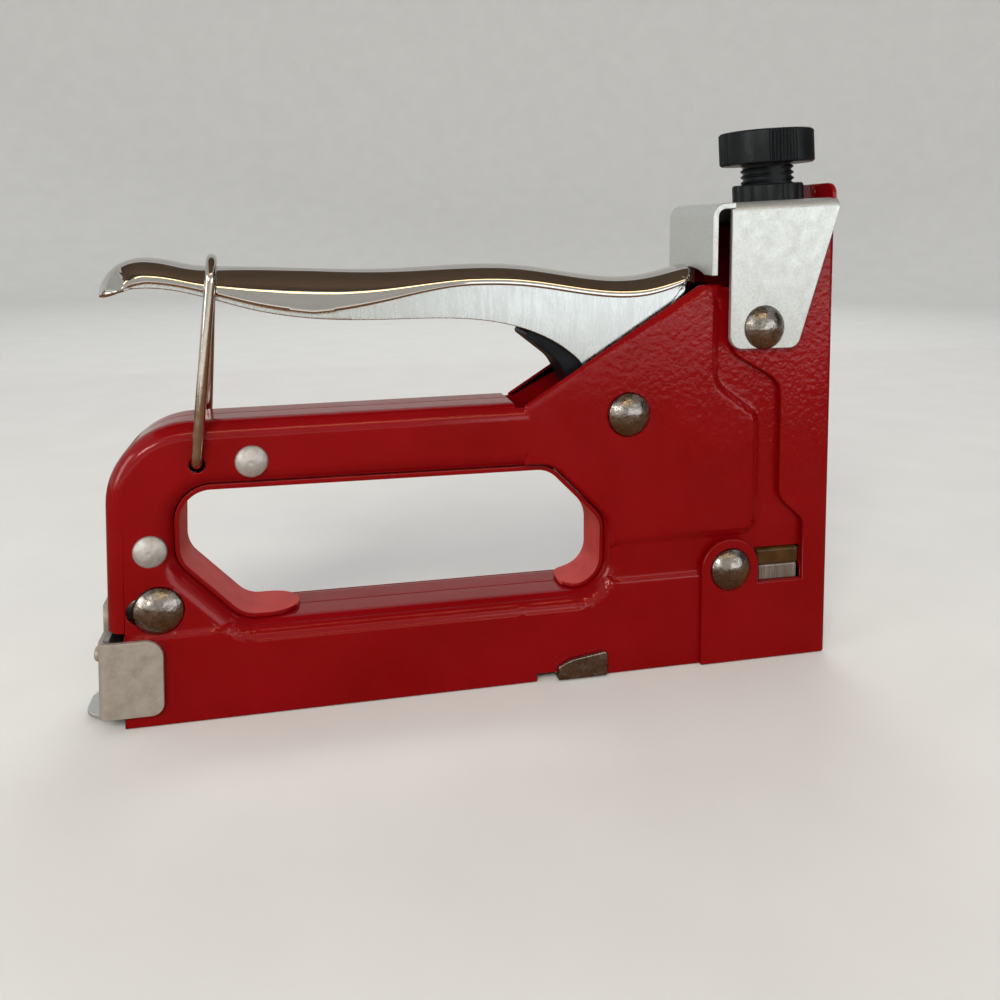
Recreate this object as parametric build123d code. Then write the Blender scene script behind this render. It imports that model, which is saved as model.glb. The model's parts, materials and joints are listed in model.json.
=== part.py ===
from build123d import *
from math import atan2, cos, degrees, radians, sin, sqrt, tan
import os

# Hand staple tacker. X runs from the back of the handle to the nose, Z up from the base, and Y = 0 is the
# seam between the two pressed shells. Sizes are in millimetres and angles in degrees. A name that ends in
# back is a distance from the nose's front face, unless its comment says otherwise.

# Body shells
body_length = 176.8
shell_sheet = 1.0
side_half = 9.6
edge_radius = 4.0
seam_gap = 0.1
bar_top = 67.6
bar_rise = 1.2
bar_corner = 18.0
slope_run = 45.0
shoulder_top = 97.5
shoulder_length = 8.6
bracket_room = 4.0
lever_slot_lip = 1.3
lever_slot_start = 92.0
lever_slot_foot = 57.0
rear_cut = 3.9
rear_cut_top = 21.2
window_width = 12.6
window_bottom = 20.1
window_height = 8.5
window_inset = 7.4
window_fit = 0.3

# Pressed steps in the shells' sides: the magazine's, and the panel round the lever's rivet
step_wall = 0.7
magazine_step = 0.8
magazine_slope = 45.0
magazine_top = 21.0
ledge_top = 24.2
panel_step = 1.2
panel_slope = 58.0
panel_bend = 5.0
panel_neck_back = 30.6
panel_neck_foot = 73.0
panel_front_back = 18.8
panel_front_top = 64.5
panel_foot = 31.6
fade_start = 10.0
fade_end = 20.0

# Hand opening and its liner
grip_left = 14.4
grip_right_back = 60.2
grip_top = 53.0
grip_bottom = 20.7
grip_slant = 14.5
grip_corner = 8.0
liner_sheet = 1.1
liner_half = 7.4
liner_gap = 0.1
liner_tail = 41.7
liner_nose_back = 70.8
liner_tail_tip = 7.2
liner_nose_tip = 5.2

# Nose plate, with the S-shaped line of its back edge from the bracket down to the window
plate_sheet = 1.2
plate_reach = 35.6
plate_bend = 1.8
plate_tab = 4.5
tab_corner = 3.0
tab_root = 4.0
crook_back = 28.8
crook_top = 80.2
crook_foot = 72.2
strip_back = 14.5
strip_foot = 41.9
strip_end = 36.0
crook_bend = 5.0
strip_bend = 3.0

# Top bracket
bracket_sheet = 1.5
bracket_top = 118.6
bracket_bend = 2.5
wing_back = 29.8
wing_bottom = 81.0
wing_foot_back = 11.2
wing_corner = 3.2
wing_nose = 3.0
flap_back = 35.0
flap_drop = 17.8
flap_bend = 3.5
flap_arch = 8.5
flap_arch_rise = 1.7

# Adjusting screw; stem lengths are taken along its leaning axis
screw_tilt = 3.5
screw_back = 12.9
screw_radius = 7.25
screw_fit = 0.08
screw_show = 5.2
stem_below = 7.0
knob_radius = 12.6
knob_height = 8.6
knob_edge = 0.9
knob_groups = 4
knob_grooves = 8
knob_set = -8.0
groove_radius = 0.4
groove_turn = 4.5
bush_radius = 9.8
bush_height = 4.4
bush_sides = 12
bush_spigot = 8.4
bush_depth = 5.0

# Striking parts
rest_gap = 0.3
seat_gap = 0.1
seat_radius = 7.0
seat_height = 2.5
seat_boss = 4.0
spring_radius = 5.7
spring_wire = 2.2
spring_turns = 7.0
plunger_top = 74.0
plunger_half = 7.4
plunger_back = 17.8
plunger_toe = 4.0
plunger_toe_rise = 10.0
blade_thick = 1.2
blade_half = 5.6
blade_gap = 1.0
blade_foot = 0.6
blade_lap = 3.0
buffer_height = 14.0
buffer_half = 8.0
buffer_inset = 0.2
support_thick = 4.0
support_play = 0.85

# Lever: the crown is its top line, the edge drops are depths of its lower edge below that, and the bulb's
# distance back is taken from the saddle
pivot_back = 55.3
pivot_height = 65.2
pivot_radius = 3.0
pivot_fit = 0.05
lever_half = 7.6
lever_sheet = 1.3
lever_round = 5.5
lever_top = 102.1
lever_lip = 18.0
lip_slope = 0.25
lip_hem = 7.0
lip_rake = 2.6
bulb_radius = 9.0
bulb_rise = 2.1
bulb_back = 15.2
crown_dip = 0.8
crown_hollow = 2.7
bulb_edge_drop = 4.6
saddle_edge_drop = 9.6
grip_edge_drop = 12.5
waist_edge_drop = 13.5
throat_edge_drop = 18.0
lever_eye = 9.0
eye_rise = 10.0

# Lifter arm, bush and return spring; the arm's sizes are taken from the lever's pivot
bush_wall = 1.5
arm_plate = 2.0
arm_web = 4.0
arm_fit = 0.1
arm_back = 26.0
arm_crest = 20.0
arm_peak = 24.0
throat_back = 17.0
throat_rise = 13.0
knee_back = 13.0
knee_rise = 6.0
arm_eye = 8.0
arm_root = 14.0
arm_root_half = 4.0
arm_lap = 5.2
arm_drop = 5.2
arm_tip = 2.5
arm_half = 4.0
arm_play = 0.8
return_wire = 1.4
return_turns = 3.0
return_play = 0.8
return_spread = 1.15

# Bail
bail_foot_x = 19.8
bail_foot_z = 58.4
bail_lean = 2.9
bail_wire = 2.4
bail_hole = 3.5
bail_play = 0.3
bail_gap = 0.4
bail_hook = 3.0
bail_knee = 2.0
bail_shoulder = 5.0

# Rivets
dome_radius = 5.2
dome_height = 2.4
dome_shank = 2.5
shank_fit = 0.05
small_radius = 3.65
small_height = 1.5
small_shank = 2.0
bracket_rivet_back = 20.6
bracket_rivet_z = 86.4
nose_rivet_z = 24.3
rear_rivet_x = 11.2
rear_rivet_z = 25.8
rear_slot = 3.85
rear_slot_half = 3.0
upper_rivet_x = 31.5
upper_rivet_z = 58.4
lower_rivet_x = 9.6
lower_rivet_z = 39.3

# Magazine
channel_half = 8.1
channel_sheet = 1.2
channel_floor = 0.3
channel_height = 14.0
channel_start = 6.5
channel_clear = 1.5
ear_x = 103.4
ear_length = 12.7
ear_height = 6.2
ear_ramp = 3.5
ear_ramp_rise = 5.0
ear_back_rise = 3.4
ear_bend = 5.0
ear_corner = 1.0
ear_notch = 5.1
ear_clear = 0.4
ear_fit = 0.1
rail_half = 5.0
rail_sheet = 1.0
rail_top = 13.5
rail_bottom = 1.8
rail_clear = 1.0
rail_tab_half = 9.0
rail_slot = 1.3
rail_slot_start = 17.6
rod_radius = 1.5
rod_height = 7.6
rod_collar = 2.9
collar_x = 8.8
collar_thick = 1.5
follower_length = 13.6
follower_sheet = 1.1
follower_gap = 0.3
follower_foot = 3.0
hub_wall = 1.7
push_wire = 0.7
push_radius = 2.55
push_turns = 22.0

# Rear cap and latch
cap_sheet = 1.2
cap_length = 12.3
cap_bottom = 3.0
cap_top = 20.0
cap_bend = 2.5
cap_foot_corner = 2.5
cap_top_corner = 4.0
cap_tab = 6.0
cap_tab_half = 4.0
cap_overhang = 1.5
cap_rivet_radius = 1.7
cap_rivet_head = 1.2
cap_rivet_y = 6.9
cap_rivet_z = 16.3
latch_reach = 5.5
latch_sheet = 0.8
latch_half = 6.4
latch_corner = 4.5
latch_grip = 2.4
latch_teeth = 3
tooth_radius = 0.75
tooth_pitch = 1.6
latch_pin_x = 4.4
latch_pin_z = 2.5
latch_pin_radius = 0.6
latch_pin_wall = 1.0

# Places worked out from the driving dimensions
far = 2 * body_length
shell_front = body_length - plate_bend
magazine_half = side_half + magazine_step
panel_half = side_half + panel_step
inner_half = side_half - shell_sheet
plate_half = magazine_half + plate_sheet
bracket_half = plate_half + bracket_sheet
pivot_x = body_length - pivot_back
slope_top_x = body_length - plate_reach - shell_sheet
slope_foot_x = slope_top_x - slope_run
grip_right = body_length - grip_right_back
window_x = body_length - window_inset - window_width
window_end = window_x + window_width
nose_ear = (plate_reach - window_inset - window_width) / 2
flap_x = body_length - flap_back
wing_x = body_length - wing_back
screw_x = body_length - screw_back
front_inside = body_length - plate_sheet
blade_front = front_inside - blade_gap
blade_back = blade_front - blade_thick
lever_inner = lever_half - lever_sheet
lip_x = pivot_x + lever_lip
bush_outer = pivot_radius + pivot_fit + bush_wall
saddle_x = bail_foot_x + bail_lean
bail_drop = (bail_hole - bail_wire) / 2 - bail_play
bulb_x = saddle_x - bulb_back
tip_x = bulb_x - bulb_radius
tip_z = lever_top + bulb_rise - bulb_radius
arm_tip_x = body_length - plunger_back + arm_lap
arm_tip_z = pivot_height - arm_drop
support_top = window_bottom + support_thick
buffer_top = support_top + buffer_height
seat_top = -stem_below - seat_gap
rail_front = blade_back - rail_clear
rail_wall = rail_front - rail_sheet
rail_inner = rail_half - rail_sheet
cap_inside = cap_sheet - cap_overhang
follower_back = rail_front - follower_length
latch_curl = latch_pin_radius + 2 * shank_fit + latch_sheet
centre_x = (body_length - latch_reach) / 2
domed_places = [
    (body_length - bracket_rivet_back, bracket_rivet_z),
    (window_x - nose_ear, nose_rivet_z),
    (rear_rivet_x, rear_rivet_z),
]
small_places = [(upper_rivet_x, upper_rivet_z), (lower_rivet_x, lower_rivet_z)]

# The screw, its bush, the spring and its seat stand on one axis that leans back by screw_tilt.
screw_axis = Plane(
    origin=(screw_x, 0, bracket_top),
    x_dir=(cos(radians(screw_tilt)), 0, sin(radians(screw_tilt))),
    z_dir=(-sin(radians(screw_tilt)), 0, cos(radians(screw_tilt))),
)
up = (Align.CENTER, Align.CENTER, Align.MIN)
down = (Align.CENTER, Align.CENTER, Align.MAX)
forward = (Align.MIN, Align.CENTER)
backward = (Align.MAX, Align.CENTER)


def side_face(*corners):
    """A face in the side view, from corners given as x, z and corner radius."""
    points = [(x, z) for x, z, radius in corners]
    radii = [radius for x, z, radius in corners]
    return Plane.XZ * make_face(FilletPolyline(*points, radius=radii, close=True))


def slab(face, inner, outer):
    """A side-view face made thick on the right-hand side, between two distances from the middle plane."""
    return extrude(Pos(0, -inner, 0) * face, outer - inner, dir=(0, -1, 0))


def across(face, half):
    """A side-view face made thick evenly about the middle plane."""
    return slab(face, -half, half)


def block(low, high):
    """A box between two corners."""
    size = [b - a for a, b in zip(low, high)]
    return Pos(*low) * Box(*size, align=(Align.MIN, Align.MIN, Align.MIN))


def cross_pin(x, z, radius, half):
    """A cylinder across the tool, at a place in the side view."""
    return Pos(x, 0, z) * Rot(90, 0, 0) * Cylinder(radius, 2 * half)


def along(radius, start, end, z):
    """A round bar along the tool."""
    return Pos(start, 0, z) * Rot(0, 90, 0) * Cylinder(radius, end - start, align=up)


def both_sides(piece):
    """A right-hand piece or face with its mirror image."""
    return piece + mirror(piece, Plane.XZ)


def coil(radius, pitch, turns, wire):
    """A round wire wound up from the XY plane."""
    path = Helix(pitch, pitch * turns, radius)
    section = Plane(path @ 0, z_dir=path % 0) * Circle(wire / 2)
    return sweep(section, path, is_frenet=True)


def domed_rivet(place, grip, head, height, shank):
    """A rivet across the tool with a low dome at each end; grip is half the length between the heads."""
    x, z = place
    ball = (head**2 + height**2) / (2 * height)
    dome = Pos(0, 0, grip + height - ball) * Sphere(ball) & Pos(0, 0, grip) * Cylinder(head, height, align=up)
    body = Cylinder(shank, 2 * grip) + dome + mirror(dome, Plane.XY)
    return Pos(x, 0, z) * Rot(90, 0, 0) * body


# Right shell: a shallow pressing with rounded edges, turned in all round the hand opening.
def bar_line(x):
    """Height of the handle bar's top, which rises a little towards the nose."""
    return bar_top + bar_rise * (x - bar_corner) / (slope_foot_x - bar_corner)


def grip_outline():
    """The hand opening: two corners cut at a slant, all of them rounded."""
    return side_face(
        (grip_left, grip_top, grip_corner),
        (grip_right - grip_slant, grip_top, grip_corner),
        (grip_right, grip_top - grip_slant, grip_corner),
        (grip_right, grip_bottom, grip_corner),
        (grip_left + grip_slant, grip_bottom, grip_corner),
        (grip_left, grip_bottom + grip_slant, grip_corner),
    )


def pressing(spread, half, radius, start):
    """The pressed form, drawn in by spread, up to half its width, with rounded edges."""
    waste = 2 * edge_radius
    head_top = bracket_top - bracket_sheet - bracket_room
    head_x = slope_top_x + shoulder_length
    outline = side_face(
        (0, -waste, 0),
        (body_length + waste, -waste, 0),
        (body_length + waste, head_top, 0),
        (head_x, head_top, 0),
        (head_x, shoulder_top, 0),
        (slope_top_x, shoulder_top, 0),
        (slope_foot_x, bar_line(slope_foot_x), 0),
        (0, bar_line(0), bar_corner),
    )
    opening = grip_outline()
    face = offset(outline, -spread) if spread else outline
    hole = offset(opening, spread) if spread else opening
    form = slab(face - hole, start, half)
    return fillet(form.faces().sort_by(Axis.Y)[0].edges(), radius)


def pressed_step(outline, height, slope, spread):
    """A step in the side, drawn in by spread: upright at first, and sloping in over its last stretch."""
    crest = side_half + height - spread
    foot = side_half - height / 2 - spread
    face = offset(outline, -spread) if spread else outline
    wall = slab(face, inner_half - spread, foot)
    return wall + extrude(Pos(0, -foot, 0) * face, crest - foot, dir=(0, -1, 0), taper=slope)


def magazine_form(spread):
    """The lower part of the side, pressed out a little further than the handle, up to the hand opening."""
    outline = side_face(
        (0, -2 * edge_radius, 0),
        (body_length + edge_radius, -2 * edge_radius, 0),
        (body_length + edge_radius, ledge_top, 0),
        (grip_right, ledge_top, 0),
        (grip_left, magazine_top, 0),
        (0, magazine_top, 0),
    )
    rounded = pressing(spread, magazine_half - spread, edge_radius - spread, 0)
    return pressed_step(outline, magazine_step, magazine_slope, spread) & rounded


def panel_form(spread):
    """The raised panel round the lever's rivet, which fades out towards the handle."""
    neck_x = body_length - panel_neck_back
    front_x = body_length - panel_front_back
    above = shoulder_top + edge_radius
    outline = side_face(
        (slope_foot_x, panel_foot, 0),
        (slope_foot_x, above, 0),
        (neck_x, above, 0),
        (neck_x, panel_neck_foot, panel_bend),
        (front_x, panel_front_top, panel_bend),
        (front_x, panel_foot, panel_bend),
    )
    rounded = pressing(spread, panel_half - spread, edge_radius - spread, 0)
    wedge = make_face(
        Polyline(
            (slope_foot_x, 0),
            (slope_foot_x, spread - side_half),
            (pivot_x - fade_start, spread - side_half),
            (pivot_x + fade_end, spread - panel_half),
            (body_length, spread - panel_half),
            (body_length, 0),
            close=True,
        )
    )
    return pressed_step(outline, panel_step, panel_slope, spread) & extrude(wedge, bracket_top) & rounded


def make_right_shell():
    shell = pressing(0, side_half, edge_radius, seam_gap / 2) + magazine_form(0) + panel_form(0)
    hollow = pressing(shell_sheet, inner_half, edge_radius - shell_sheet, -seam_gap)
    shell -= hollow + magazine_form(step_wall) + panel_form(step_wall)
    shell -= block((-far, -far, -far), (far, far, 0))
    shell -= block((shell_front, -far, -far), (far, far, far))
    shell -= block((-far, -far, -far), (rear_cut, far, rear_cut_top))
    shell -= block((window_x, -far, window_bottom), (window_end, far, window_bottom + window_height))
    notch_end = ear_x + ear_length + ear_clear
    shell -= block((ear_x - ear_notch, -far, 0), (notch_end, far, channel_floor + channel_sheet + ear_clear))
    lever_slot = side_face(
        (slope_foot_x + shell_sheet, lever_slot_foot, 0),
        (far, lever_slot_foot, 0),
        (far, far, 0),
        (lever_slot_start, far, 0),
        (lever_slot_start, bar_top + edge_radius, 0),
    )
    shell -= across(lever_slot, side_half - lever_slot_lip)
    shell -= cross_pin(pivot_x, pivot_height, pivot_radius + pivot_fit, far)
    shell -= cross_pin(bail_foot_x, bail_foot_z - bail_drop, bail_hole / 2, far)
    for x, z in domed_places:
        shell -= cross_pin(x, z, dome_shank + shank_fit, far)
    for x, z in small_places:
        shell -= cross_pin(x, z, small_shank + shank_fit, far)
    rear_hole = SlotCenterToCenter(rear_slot, 2 * rear_slot_half)
    return shell - across(Plane.XZ * Pos(rear_rivet_x - rear_slot / 2, rear_rivet_z) * rear_hole, far)


right_shell = make_right_shell()
left_shell = mirror(right_shell, Plane.XZ)


# Liner: a strip bent round the ends and top of the hand opening, open along the bottom.
def make_handle_liner():
    seat = offset(grip_outline(), -liner_gap)
    strip = across(seat - offset(seat, -liner_sheet), liner_half)
    liner_nose = body_length - liner_nose_back
    gap_top = grip_bottom + grip_corner / 2
    strip -= block((liner_tail, -liner_half, 0), (liner_nose, liner_half, gap_top))
    for end, tip in ((liner_tail, liner_tail_tip), (liner_nose, liner_nose_tip)):
        upright = strip.edges().filter_by(Axis.Z)
        strip = fillet(upright.filter_by_position(Axis.X, end - liner_gap, end + liner_gap), tip)
    return strip


handle_liner = make_handle_liner()


# Nose plate: a channel bent round the nose, its cheeks cut to an S-shaped back edge, with a tab on top.
def make_front_plate():
    reach = body_length - plate_reach
    outer = Pos(body_length, 0) * Rectangle(2 * plate_reach, 2 * plate_half, align=backward)
    outer = fillet(outer.vertices().group_by(Axis.X)[-1], plate_bend)
    inner = Pos(front_inside, 0) * Rectangle(2 * plate_reach, 2 * magazine_half, align=backward)
    inner = fillet(inner.vertices().group_by(Axis.X)[-1], plate_bend - plate_sheet)
    cheek_top = bracket_top - bracket_sheet - tab_root
    ear_top = nose_rivet_z + nose_ear
    ear_round = 0.98 * nose_ear
    cheeks = side_face(
        (reach, 0, 0),
        (far, 0, 0),
        (far, cheek_top, 0),
        (body_length - crook_back, cheek_top, 0),
        (body_length - crook_back, crook_top, crook_bend),
        (body_length - strip_back, crook_foot, crook_bend),
        (body_length - strip_back, strip_foot, strip_bend),
        (window_end, strip_end, strip_bend),
        (window_end, window_bottom, 0),
        (window_x, window_bottom, 0),
        (window_x, ear_top, ear_round),
        (reach, ear_top, ear_round),
    )
    plate = extrude(outer - inner, cheek_top) & across(cheeks, plate_half)
    tab = block((front_inside, -plate_half, cheek_top), (body_length, plate_half, bracket_top + plate_tab))
    plate += fillet(tab.edges().filter_by(Axis.X).group_by(Axis.Z)[-1], tab_corner)
    for x, z in domed_places[:2]:
        plate -= cross_pin(x, z, dome_shank + shank_fit, plate_half)
    return plate


front_plate = make_front_plate()


# Top bracket: bent from one sheet, with a cheek on each side and a flap at the back.
def bracket_line(x):
    """Height of the bracket's sloping top, square to the screw."""
    return bracket_top + (x - screw_x) * tan(radians(screw_tilt))


def make_top_bracket():
    wings = side_face(
        (wing_x, bracket_line(wing_x), 0),
        (wing_x, wing_bottom, wing_corner),
        (body_length - wing_foot_back, wing_bottom, wing_corner),
        (body_length, bracket_line(body_length) - wing_nose, 0),
        (body_length, bracket_line(body_length), 0),
    )
    channel = across(wings, bracket_half)
    long_edges = channel.edges().filter_by(lambda edge: abs((edge % 0.5).Y) < 0.1)
    channel = fillet(long_edges.group_by(Axis.Z)[-1], bracket_bend)
    hollow = side_face(
        (0, bracket_line(0) - bracket_sheet, 0),
        (0, 0, 0),
        (far, 0, 0),
        (far, bracket_line(far) - bracket_sheet, 0),
    )
    channel -= across(hollow, plate_half)
    channel -= block((front_inside, -plate_half, 0), (far, plate_half, far))
    lap_x = wing_x + shell_sheet
    inside_x = flap_x + bracket_sheet
    flap_foot = bracket_line(flap_x) - flap_drop
    bend = side_face(
        (lap_x, bracket_line(lap_x), 0),
        (flap_x, bracket_line(flap_x), flap_bend),
        (flap_x, flap_foot, 0),
        (inside_x, flap_foot, 0),
        (inside_x, bracket_line(inside_x) - bracket_sheet, flap_bend - bracket_sheet),
        (lap_x, bracket_line(lap_x) - bracket_sheet, 0),
    )
    arch = (flap_arch**2 + flap_arch_rise**2) / (2 * flap_arch_rise)
    arch_z = flap_foot + flap_arch_rise - arch
    arch_bar = along(arch, flap_x - bracket_sheet, inside_x + bracket_sheet, arch_z)
    bracket = channel + (across(bend, bracket_half) - arch_bar)
    bracket -= screw_axis.location * Cylinder(bush_spigot + shank_fit, 4 * bracket_sheet)
    return bracket - cross_pin(*domed_places[0], dome_shank + shank_fit, bracket_half)


top_bracket = make_top_bracket()


# Adjusting knob and its bush, drawn upright and then set on the leaning axis.
def make_knob_bush():
    flange = extrude(RegularPolygon(bush_radius, bush_sides), bush_height)
    spigot = Cylinder(bush_spigot, bush_depth, align=down)
    return screw_axis.location * (flange + spigot - Cylinder(screw_radius + screw_fit, 4 * bush_depth))


def make_adjusting_knob():
    head_foot = bush_height + screw_show
    head = Pos(0, 0, head_foot) * Cylinder(knob_radius, knob_height, align=up)
    head = fillet(head.edges().filter_by(GeomType.CIRCLE), knob_edge)
    cutter = Pos(knob_radius, 0, head_foot) * Cylinder(groove_radius, knob_height, align=up)
    for group in range(knob_groups):
        for groove in range(knob_grooves):
            turn = knob_set + 360 / knob_groups * group + groove_turn * (groove - (knob_grooves - 1) / 2)
            head -= Rot(0, 0, turn) * cutter
    stem = Pos(0, 0, -stem_below) * Cylinder(screw_radius, head_foot + stem_below, align=up)
    return screw_axis.location * (head + stem)


knob_bush = make_knob_bush()
adjusting_knob = make_adjusting_knob()


# Spring seat and main spring, on the same axis.
def make_spring_seat():
    disc = Pos(0, 0, seat_top) * Cylinder(seat_radius, seat_height, align=down)
    boss = Pos(0, 0, seat_top - seat_height) * Cylinder(seat_boss, seat_height, align=down)
    return screw_axis.location * (disc + boss)


def make_main_spring():
    foot = (plunger_top - bracket_top) / cos(radians(screw_tilt))
    room = seat_top - seat_height - foot - 2 * rest_gap - spring_wire
    wound = coil(spring_radius, room / spring_turns, spring_turns, spring_wire)
    return screw_axis.location * Pos(0, 0, foot + rest_gap + spring_wire / 2) * wound


spring_seat = make_spring_seat()
main_spring = make_main_spring()


# Plunger: the striking block, with a slot behind for the tip of the lifter arm, and the blade on its front.
def plunger_line(x):
    """Height of the plunger's top, square to the spring."""
    lean = radians(screw_tilt)
    foot_x = screw_x + (bracket_top - plunger_top) * tan(lean)
    return plunger_top + (x - foot_x) * tan(lean)


def make_plunger():
    back = body_length - plunger_back
    foot = buffer_top + rest_gap
    body = side_face(
        (back, plunger_line(back), 1),
        (back, foot + plunger_toe_rise, 2),
        (back + plunger_toe, foot, 2),
        (blade_back, foot, 0),
        (blade_back, plunger_line(blade_back), 0),
    )
    room = arm_tip + arm_play
    slot = side_face(
        (0, arm_tip_z - room, 0),
        (arm_tip_x + room, arm_tip_z - room, 1),
        (arm_tip_x + room, arm_tip_z + room, 1),
        (0, arm_tip_z + room, 0),
    )
    return across(body, plunger_half) - across(slot, arm_half + arm_play)


def make_driver_blade():
    top = plunger_line(blade_back) - blade_lap
    return block((blade_back, -blade_half, blade_foot), (blade_front, blade_half, top))


plunger = make_plunger()
driver_blade = make_driver_blade()


# Buffer and its support: they lie across the nose, and their ends stand in the windows of the shells.
def window_bar(half, play, bottom, top):
    return block((window_x + play, -half, bottom), (window_end - play, half, top))


window_reach = magazine_half - buffer_inset
buffer_support = window_bar(window_reach, support_play, window_bottom, support_top)
buffer = window_bar(window_reach, window_fit, support_top, window_bottom + window_height - window_fit)
buffer += window_bar(buffer_half, window_fit, support_top, buffer_top)


# Lever: pressed from one sheet, rounded on top and open underneath, with two arms down to the rivet.
def crown_line(drop):
    """The top line from the lip to the tip, drawn in by drop: a long sweep, a saddle and a round bulb."""
    top = lever_top - drop
    halfway = ((bulb_x + saddle_x) / 2, top + bulb_rise / 2)
    stretch = pivot_x - saddle_x
    sweep_line = Spline(
        (saddle_x, top),
        (saddle_x + 0.4 * stretch, top - crown_dip),
        (saddle_x + 0.73 * stretch, top),
        (saddle_x + 1.07 * stretch, top - crown_hollow),
        (lip_x, top),
        tangents=[(1, 0), (1, lip_slope)],
    )
    return [
        sweep_line,
        TangentArc((saddle_x, top), halfway, tangent=(-1, 0)),
        TangentArc((bulb_x, top + bulb_rise), halfway, tangent=(1, 0)),
        CenterArc((bulb_x, tip_z), bulb_radius - drop, 90, 90),
    ]


def lever_blank(drop, half, radius):
    """The form under the top line, with its long edges rounded, before its lower edge is cut."""
    crown = crown_line(drop)
    front = crown[0] @ 1
    back = crown[-1] @ 1
    foot = Polyline(front, (front.X, 0), (back.X, 0), back)
    blank = across(Plane.XZ * make_face([*crown, foot]), half)
    round_edges = blank.edges().filter_by(lambda edge: edge.geom_type != GeomType.LINE)
    return fillet(round_edges, radius)


def lower_edge():
    """The outline that trims the blank: along under the grip, round the eye and up to the lip."""
    stretch = pivot_x - saddle_x
    eye_back = (pivot_x - lever_eye, pivot_height)
    eye_front = (pivot_x + lever_eye, pivot_height)
    under = Spline(
        (tip_x, tip_z),
        (saddle_x - 0.8 * bulb_back, lever_top - bulb_edge_drop),
        (saddle_x + 0.09 * stretch, lever_top - saddle_edge_drop),
        (saddle_x + 0.38 * stretch, lever_top - grip_edge_drop),
        (saddle_x + 0.66 * stretch, lever_top - waist_edge_drop),
        (saddle_x + 0.8 * stretch, lever_top - throat_edge_drop),
        (pivot_x - lever_eye, pivot_height + eye_rise),
    )
    back_arm = Line(under @ 1, eye_back)
    eye = ThreePointArc(eye_back, (pivot_x, pivot_height - lever_eye), eye_front)
    hem = (lip_x - lip_rake, lever_top - lip_hem)
    over = Polyline(eye_front, hem, (lip_x, lever_top), (lip_x, far), (tip_x, far), under @ 0)
    return Plane.XZ * make_face([under, back_arm, eye, over])


def make_lever():
    skin = lever_blank(0, lever_half, lever_round)
    skin -= lever_blank(lever_sheet, lever_inner, lever_round - lever_sheet)
    trimmed = skin & across(lower_edge(), lever_half)
    return trimmed - cross_pin(pivot_x, pivot_height, bush_outer + shank_fit, 2 * lever_half)


lever = make_lever()


# Lifter arm: two plates between the lever's arms, joined behind, with one tongue forward to the plunger.
def make_lifter_arm():
    half = lever_inner - arm_fit
    rear = [
        (pivot_x - arm_back, pivot_height + arm_crest, 1),
        (pivot_x - throat_back, pivot_height + throat_rise, arm_eye),
        (pivot_x - knee_back, pivot_height + knee_rise, arm_eye / 2),
    ]
    plates = side_face(
        *rear,
        (pivot_x - arm_eye, pivot_height - arm_eye, arm_eye / 2),
        (pivot_x + arm_eye, pivot_height - arm_eye, arm_eye / 2),
        (pivot_x + arm_root, pivot_height - arm_root_half, 2),
        (pivot_x + arm_root, pivot_height + arm_root_half, 2),
        (pivot_x + arm_web, pivot_height + arm_crest, 4),
        (pivot_x - arm_crest, pivot_height + arm_peak, 2),
    )
    gap = Pos(arm_web, 0, 0) * side_face(
        *rear,
        (pivot_x - knee_back, 0, 0),
        (pivot_x + arm_eye - arm_web, 0, 0),
        (pivot_x + arm_eye - arm_web, far, 0),
        (pivot_x - arm_back, far, 0),
    )
    arm = across(plates, half) - across(gap, half - arm_plate)
    neck = 0.7 * arm_tip
    root_x = pivot_x + arm_root - arm_plate
    tongue = side_face(
        (root_x, pivot_height - arm_root_half, 0),
        (arm_tip_x - arm_tip, arm_tip_z - neck, 0),
        (arm_tip_x - arm_tip, arm_tip_z + neck, 0),
        (root_x, pivot_height + arm_root_half, 0),
    )
    tip = cross_pin(arm_tip_x - arm_tip, arm_tip_z, arm_tip, arm_half)
    arm += across(tongue, arm_half) + tip
    return arm - cross_pin(pivot_x, pivot_height, bush_outer + shank_fit, 2 * half)


def make_pivot_bush():
    bore = cross_pin(pivot_x, pivot_height, pivot_radius + pivot_fit, side_half)
    return cross_pin(pivot_x, pivot_height, bush_outer, inner_half - rest_gap) - bore


def make_return_spring():
    """Wound round the bush, with one leg down to the hand opening's flange and one up to the arm's web."""
    radius = bush_outer + return_play + return_wire / 2
    pitch = return_wire * return_spread
    stand_off = (shell_sheet + return_wire / 2 + rest_gap) * cos(radians(45))
    foot_x = grip_right - grip_slant / 2 + stand_off - pivot_x
    foot_z = grip_top - grip_slant / 2 + stand_off - pivot_height
    head_x = arm_web - throat_back
    head_z = throat_rise + return_wire
    foot_leg = sqrt(foot_x**2 + foot_z**2 - radius**2)
    head_leg = sqrt(head_x**2 + head_z**2 - radius**2)
    start = degrees(atan2(foot_z, foot_x) + atan2(foot_leg, radius))
    end = degrees(atan2(head_z, head_x) - atan2(head_leg, radius))
    turns = return_turns + (end - start) / 360
    path = Helix(pitch, pitch * turns, radius)
    wire = coil(radius, pitch, turns, return_wire)
    wire += extrude(Plane(path @ 0, z_dir=path % 0) * Circle(return_wire / 2), -foot_leg)
    wire += extrude(Plane(path @ 1, z_dir=path % 1) * Circle(return_wire / 2), head_leg)
    bush_plane = Plane((pivot_x, pitch * turns / 2, pivot_height), x_dir=(1, 0, 0), z_dir=(0, -1, 0))
    return bush_plane.location * Rot(0, 0, start) * wire


lifter_arm = make_lifter_arm()
pivot_bush = make_pivot_bush()
lever_return_spring = make_return_spring()

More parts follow.
